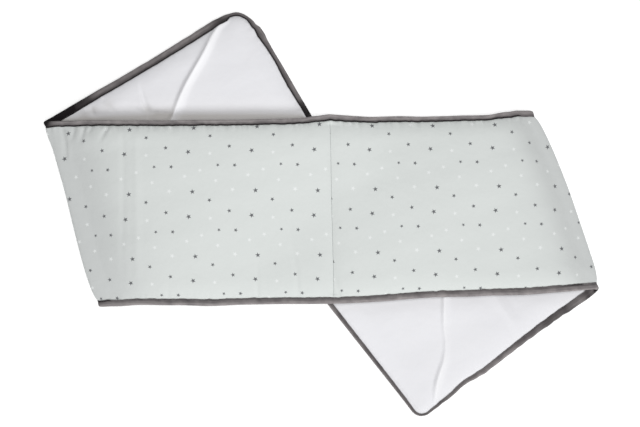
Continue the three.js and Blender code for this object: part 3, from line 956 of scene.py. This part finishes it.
# %% The stitches along the tape
STITCH_PITCH = 0.0032
STITCH_LENGTH = 0.0023
STITCH_WIDTH = 0.0004
STITCH_RISE = 0.00012  # of its middle over its ends
STITCH_INDEX = 5  # the section's point at the bottom of the dip


def stitch_row(index, neighbour):
    """Points and faces of one row of stitches over the section's point of that index."""
    line = tape_points[:, index]
    beside = tape_points[:, neighbour]
    steps = np.linalg.norm(np.roll(line, -1, axis=0) - line, axis=1)
    run = np.concatenate([[0], np.cumsum(steps)])
    closed = np.concatenate([line, line[:1]])
    across = np.concatenate([beside - line, (beside - line)[:1]])
    number = int(run[-1] / STITCH_PITCH)
    at = (np.arange(number) + 0.5) * run[-1] / number

    def along(values, shift):
        places = (at + shift) % run[-1]
        return np.stack([np.interp(places, run, values[:, k]) for k in range(3)], axis=1)

    back, front = along(closed, -STITCH_LENGTH / 2), along(closed, STITCH_LENGTH / 2)
    ahead = front - back
    ahead /= np.linalg.norm(ahead, axis=1)[:, None]
    sideways = along(across, 0)
    sideways -= np.sum(sideways * ahead, axis=1)[:, None] * ahead
    sideways /= np.linalg.norm(sideways, axis=1)[:, None]
    up = np.cross(ahead, sideways)
    if index > around // 2:
        up = -up
    points, faces = [], []
    for k in range(number):
        base = len(points)
        points.append(back[k])
        for t in (0.25, 0.75):
            middle = mix(back[k], front[k], t) + up[k] * STITCH_RISE
            for angle in (0.25, 0.75, 1.25, 1.75):
                out = math.cos(angle * math.pi) * sideways[k] * STITCH_WIDTH / 2
                rise = math.sin(angle * math.pi) * up[k] * STITCH_WIDTH / 2
                points.append(middle + out + rise)
        points.append(front[k])
        for corner in range(4):
            after = (corner + 1) % 4
            faces.append((base, base + 1 + after, base + 1 + corner))
            faces.append((base + 1 + corner, base + 1 + after, base + 5 + after, base + 5 + corner))
            faces.append((base + 9, base + 5 + corner, base + 5 + after))
    return np.array(points), faces


lower_stitch = lower_lip - STITCH_INDEX
first_points, first_faces = stitch_row(STITCH_INDEX, STITCH_INDEX + 1)
second_points, second_faces = stitch_row(lower_stitch, lower_stitch - 1)
second_faces = [tuple(i + len(first_points) for i in face) for face in second_faces]
stitches = make_mesh(
    "binding_stitches", np.concatenate([first_points, second_points]), first_faces + second_faces
)

# %% [markdown]
# ## Materials
#
# Shader maths is easier to read as arithmetic. Value wraps the output of a node: adding or
# multiplying values adds Math nodes. Anything else, such as a noise texture or a colour mix, comes
# from Finish.node(), which sets a node's own settings first and then its inputs.

# %% Shader arithmetic
class Value:
    """The output of a shader node, with arithmetic."""

    def __init__(self, finish, output):
        self.finish = finish
        self.output = output

    def math(self, operation, *others):
        inputs = dict(enumerate((self, *others)))
        return self.finish.node("ShaderNodeMath", {"operation": operation}, inputs)

    def __add__(self, other):
        return self.math("ADD", other)

    __radd__ = __add__

    def __mul__(self, other):
        return self.math("MULTIPLY", other)

    __rmul__ = __mul__

    def __sub__(self, other):
        return self.math("SUBTRACT", other)

    def __rsub__(self, other):
        return (self * -1.0) + other


class Finish:
    """A material that is being made."""

    def __init__(self, name):
        self.material = bpy.data.materials.new(name)
        self.material.use_nodes = True
        self.tree = self.material.node_tree
        self.tree.nodes.clear()

    def node(self, kind, settings, inputs, output=0):
        node = self.tree.nodes.new(kind)
        for name, value in settings.items():
            setattr(node, name, value)
        for name, value in inputs.items():
            if isinstance(value, Value):
                self.tree.links.new(value.output, node.inputs[name])
            else:
                node.inputs[name].default_value = value
        return Value(self, node.outputs[output]) if node.outputs else None

    def cloth_place(self):
        """The piece's own UV map, in metres of cloth."""
        return self.node("ShaderNodeUVMap", {"uv_map": "cloth"}, {})

    def shade(self):
        """The piece's own shade, one number per point."""
        return self.node("ShaderNodeAttribute", {"attribute_name": "shade"}, {}, 2)

    def split(self, vector):
        return [self.node("ShaderNodeSeparateXYZ", {}, {0: vector}, k) for k in (0, 1)]

    def vector(self, operation, *inputs):
        return self.node("ShaderNodeVectorMath", {"operation": operation}, dict(enumerate(inputs)))

    def scaled(self, vector, scale):
        inputs = {0: vector, "Scale": scale}
        return self.node("ShaderNodeVectorMath", {"operation": "SCALE"}, inputs)

    def mix_colours(self, factor, a, b):
        return self.node("ShaderNodeMix", {"data_type": "RGBA"}, {0: factor, 6: a, 7: b}, 2)

    def noise(self, place_in, scale, detail=3.0):
        inputs = {"Vector": place_in, "Scale": scale, "Detail": detail}
        return self.node("ShaderNodeTexNoise", {"noise_dimensions": "3D"}, inputs)

    def weave(self, place_in, pitch):
        """Threads over and under, as a height from 0 to 1."""
        x, y = self.split(self.scaled(place_in, 2 * math.pi / pitch))
        return x.math("SINE") * y.math("SINE") * 0.5 + 0.5

    def bump(self, height, distance, strength, normal=None):
        inputs = {"Height": height, "Distance": distance, "Strength": strength}
        if normal is not None:
            inputs["Normal"] = normal
        return self.node("ShaderNodeBump", {}, inputs)

    def woven(self, cloth, soft, threads, along=None):
        """A weave over a soft unevenness; each is a scale or pitch, a depth and a strength."""
        scale, depth, strength = soft
        below = self.bump(self.noise(cloth, scale, 2.0), depth, strength)
        pitch, depth, strength = threads
        return self.bump(self.weave(along or cloth, pitch), depth, strength, below)

    def finish_as_cloth(self, colour, normal, roughness=0.9, sheen=0.25, specular=0.25):
        inputs = {
            "Base Color": colour, "Roughness": roughness, "Normal": normal,
            "Sheen Weight": sheen, "Sheen Roughness": 0.5, "Specular IOR Level": specular,
        }
        shader = self.node("ShaderNodeBsdfPrincipled", {}, inputs)
        self.node("ShaderNodeOutputMaterial", {}, {"Surface": shader})
        return self.material


# %% [markdown]
# ## The print
#
# The print is a common scatter of small five-pointed stars, some dark grey and some white, on pale
# grey-green cotton. It repeats every 110.5 by 116 mm, so a short table is enough: each star has a
# place in the repeat, a width and a turn. The places were worked out by separate programs: those of
# the dark stars in the same fit, and those of the white ones as medians of measured places. Widths
# and turns were given one by one. A star is drawn by folding the plane into ten equal wedges, so
# that one straight edge makes all ten.

# %% The star print
REPEAT = (0.1105, 0.116)
DARK_STARS = [  # place in the repeat, width in mm, turn in degrees
    (0.000, 0.000, 10.0, 25),
    (0.069, 0.381, 10.0, 5),
    (0.336, 0.244, 8.2, 40),
    (0.646, 0.075, 8.5, 12),
    (0.471, -0.216, 6.9, 30),
    (0.738, -0.225, 8.2, 50),
]
WHITE_STARS = [
    (0.342, -0.033, 8.4, 10),
    (0.191, -0.293, 8.4, 33),
    (-0.050, -0.379, 8.4, 55),
    (0.438, -0.457, 8.4, 20),
    (0.704, 0.401, 9.4, 45),
]
NOTCH = 0.40  # the inner corners' distance from the middle, over the tips'
WEDGE = math.pi / 5
EDGE_X = 1 - NOTCH * math.cos(WEDGE)
EDGE_Y = NOTCH * math.sin(WEDGE)
EDGE_SOFTNESS = 0.25  # share of a star over which its edge fades into the cloth


def star_mask(finish, place_in, stars):
    """1 inside any of the stars, 0 outside them."""
    mask = None
    for across, up, width, turn in stars:
        centre = (across * REPEAT[0] - REPEAT[0] / 2, up * REPEAT[1] - REPEAT[1] / 2, 0)
        radius = width / 2000
        moved = finish.vector("SUBTRACT", place_in, centre)
        wrapped = finish.vector("FRACTION", finish.vector("DIVIDE", moved, (*REPEAT, 1.0)))
        size = (REPEAT[0] / radius, REPEAT[1] / radius, 0)
        local = finish.vector("MULTIPLY", finish.vector("SUBTRACT", wrapped, (0.5, 0.5, 0.5)), size)
        x, y = finish.split(local)
        length = (x * x + y * y).math("SQRT")
        angle = (y.math("ARCTAN2", x) - math.radians(90 + turn)).math("PINGPONG", WEDGE)
        edge = length * (angle.math("SINE") * EDGE_X + angle.math("COSINE") * EDGE_Y)
        inside = (EDGE_Y - edge) * (1 / (EDGE_SOFTNESS * EDGE_Y)) + 0.5
        mask = inside if mask is None else mask.math("MAXIMUM", inside)
    return mask.math("MAXIMUM", 0.0).math("MINIMUM", 1.0)


# %% [markdown]
# ## The four finishes
#
# All of the cloth is matt plain-weave cotton. Its weave is a fine bump over a soft one, because
# cotton over wadding is never quite smooth. The colours vary by a few parts in a hundred, and each
# piece's shade mixes in a darker colour as painted shade, on the tape also as a darker tone, and on
# the lining a brighter colour as a painted highlight. The tape has more contrast: its two greys run
# in streaks along it. It also has hardly any sheen, or its darkest folds would look grey.

# %% The colours
GROUND = (0.580, 0.604, 0.592, 1)
GROUND_SHADE = (0.560, 0.586, 0.574, 1)
# Painted shade, mixed into the print towards each fold
GROUND_PAINTED_FOLD_SHADE = (0.515, 0.532, 0.528, 1)
STAR_DARK = (0.118, 0.122, 0.128, 1)
STAR_WHITE = (0.665, 0.685, 0.680, 1)
LINING_WHITE = (0.700, 0.700, 0.722, 1)
LINING_SHADE = (0.675, 0.675, 0.700, 1)
# Painted highlight on the bright side of the lining's ridges
LINING_PAINTED_HIGHLIGHT = (0.810, 0.810, 0.825, 1)
# Painted shadow beside the upper layer's edge and in the lining's creases
LINING_PAINTED_SHADOW = (0.440, 0.425, 0.410, 1)
TAPE_GREY = (0.290, 0.268, 0.268, 1)
TAPE_SHADE = (0.175, 0.161, 0.164, 1)
# Painted shade of the tape, and its darker tone on the folded ends
TAPE_DARK = (0.010, 0.008, 0.009, 1)
THREAD_GREY = (0.120, 0.112, 0.116, 1)

# %% The print's and the lining's finish
COTTON_THREADS = (0.0007, 0.00008, 0.35)  # pitch and depth in metres, and strength


def printed_cotton():
    finish = Finish("printed cotton")
    cloth = finish.cloth_place()
    ground = finish.mix_colours(finish.noise(cloth, 14.0), GROUND, GROUND_SHADE)
    # painted shade: greyer towards each fold
    ground = finish.mix_colours(finish.shade(), ground, GROUND_PAINTED_FOLD_SHADE)
    white = finish.mix_colours(star_mask(finish, cloth, WHITE_STARS), ground, STAR_WHITE)
    colour = finish.mix_colours(star_mask(finish, cloth, DARK_STARS), white, STAR_DARK)
    normal = finish.woven(cloth, (60.0, 0.0012, 0.5), COTTON_THREADS)
    return finish.finish_as_cloth(colour, normal)


def white_cotton():
    finish = Finish("white cotton")
    cloth = finish.cloth_place()
    shade = finish.shade()
    colour = finish.mix_colours(finish.noise(cloth, 10.0), LINING_WHITE, LINING_SHADE)
    # painted shadow beside the upper layer's edge and in creases
    colour = finish.mix_colours(shade, colour, LINING_PAINTED_SHADOW)
    # painted highlight on the ridges' bright sides
    colour = finish.mix_colours(shade * -1.0, colour, LINING_PAINTED_HIGHLIGHT)
    normal = finish.woven(cloth, (45.0, 0.0016, 0.5), COTTON_THREADS)
    return finish.finish_as_cloth(colour, normal)


# %% The tape's and the thread's finish
TAPE_THREADS = (0.0006, 0.00009, 0.4)
STREAKS = (22.0, 420.0, 1.0)  # noise stretched along the tape
STREAK_SHARE, TONE_MIDDLE, TONE_CONTRAST, TONE_SHARE = 0.9, 0.95, 2.4, 0.45


def grey_tape():
    finish = Finish("grey bias tape")
    cloth = finish.cloth_place()
    turned = finish.node("ShaderNodeVectorRotate", {"rotation_type": "Z_AXIS"},
                         {"Vector": cloth, "Angle": math.radians(45)})
    streaks = finish.noise(finish.vector("MULTIPLY", cloth, STREAKS), 1.0, 2.0)
    patches = finish.noise(cloth, 55.0)
    tone = (streaks * STREAK_SHARE + patches - TONE_MIDDLE) * TONE_CONTRAST + TONE_SHARE
    tone = tone.math("MAXIMUM", 0.0).math("MINIMUM", 1.0)
    colour = finish.mix_colours(tone, TAPE_GREY, TAPE_SHADE)
    # painted shade beside the lip and at the folds, and darker tone on the folded ends
    colour = finish.mix_colours(finish.shade(), colour, TAPE_DARK)
    normal = finish.woven(cloth, (170.0, 0.0008, 0.6), TAPE_THREADS, turned)
    return finish.finish_as_cloth(colour, normal, roughness=0.85, sheen=0.05, specular=0.06)


def grey_thread():
    finish = Finish("grey thread")
    place_in = finish.node("ShaderNodeTexCoord", {}, {}, 3)
    twist = finish.noise(place_in, 2500.0, 1.0)
    colour = finish.mix_colours(twist, THREAD_GREY, TAPE_SHADE)
    return finish.finish_as_cloth(colour, finish.bump(twist, 0.00005, 0.4), roughness=0.6)


# %% Giving the pieces their finishes
cotton = printed_cotton()
panel_left.data.materials.append(cotton)
panel_right.data.materials.append(cotton)
lining.data.materials.append(white_cotton())
tape.data.materials.append(grey_tape())
stitches.data.materials.append(grey_thread())
print("materials:", [m.name for m in bpy.data.materials])

# %% [markdown]
# ## Telling the frame what each piece is
#
# Every piece rides on the one body, and the CAD node that each of the four cloth pieces stands for is
# hidden.

# %% Riding and replacing
for piece, node, slot in (
    (panel_left, "face_left", "printed_cotton"),
    (panel_right, "face_right", "printed_cotton"),
    (lining, "lining", "white_cotton"),
    (tape, "binding", "grey_bias_tape"),
):
    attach(piece, "root")
    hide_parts(node)
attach(stitches, "root")

# %% [markdown]
# ## Table, light and camera
#
# The table is plain and nearly white. A broad soft light stands in front, far off and a little to
# the right, a small one hangs close overhead, and the room is white, so the shadows are faint. The
# camera looks almost straight down with a 50 mm lens. Its place and turns come from the same kind of
# fit as the folds.

# %% The table
TABLE_HEIGHT = -0.0006  # the tape's lowest puckers just clear it
bpy.ops.object.select_all(action="DESELECT")
bpy.ops.mesh.primitive_plane_add(size=12, location=(0, 0, TABLE_HEIGHT))
table = bpy.context.object
table.name = "table"
surface = Finish("table")
table_shader = surface.node("ShaderNodeBsdfPrincipled", {}, {
    "Base Color": (0.92, 0.92, 0.92, 1), "Roughness": 0.9, "Specular IOR Level": 0.1,
    "Emission Color": (1, 1, 1, 1), "Emission Strength": 0.27,
})
surface.node("ShaderNodeOutputMaterial", {}, {"Surface": table_shader})
table.data.materials.append(surface.material)


# %% The lights
def soft_light(name, place_at, look_at, size, power):
    data = bpy.data.lights.new(name, "AREA")
    data.shape = "RECTANGLE"
    data.size, data.size_y = size
    data.energy = power
    light = bpy.data.objects.new(name, data)
    light.location = place_at
    light.rotation_euler = (Vector(look_at) - Vector(place_at)).to_track_quat("-Z", "Y").to_euler()
    bpy.context.scene.collection.objects.link(light)
    print(name, "of", power, "W at", place_at)


soft_light("low window", (1.9, -6.7, 4.0), (0, 0, 0), (5.0, 3.0), 370)
soft_light("lamp", (0.04, 0.02, 1.35), (0.04, 0.02, 0), (0.9, 0.9), 12.2)
world = bpy.data.worlds.new("white room")
world.use_nodes = True
background = world.node_tree.nodes["Background"]
background.inputs["Color"].default_value = (1, 1, 1, 1)
background.inputs["Strength"].default_value = 0.35
bpy.context.scene.world = world
bpy.context.scene.view_settings.view_transform = "Standard"

# %% The camera
LOOK_AT = (-0.0187, -0.0063)  # from the strip's own origin
TURNS = (("Z", -1.19), ("Y", -5.68), ("X", 4.17))  # in degrees, away from straight down
CAMERA_DISTANCE = 1.6
TARGET = Vector((LOOK_AT[0] + SEAM_PLACE[0] / 1000, LOOK_AT[1] + SEAM_PLACE[1] / 1000, 0))
tilt = Matrix.Identity(4)
for axis, degrees in TURNS:
    tilt = tilt @ Matrix.Rotation(math.radians(degrees), 4, axis)
camera_data = bpy.data.cameras.new("camera")
camera_data.lens = 50.05
camera_data.sensor_width = 36
camera = bpy.data.objects.new("camera", camera_data)
camera.matrix_world = (
    Matrix.Translation(TARGET) @ tilt @ Matrix.Translation((0, 0, CAMERA_DISTANCE))
)
bpy.context.scene.collection.objects.link(camera)
bpy.context.scene.camera = camera
print("camera at", [round(x, 3) for x in camera.matrix_world.translation])
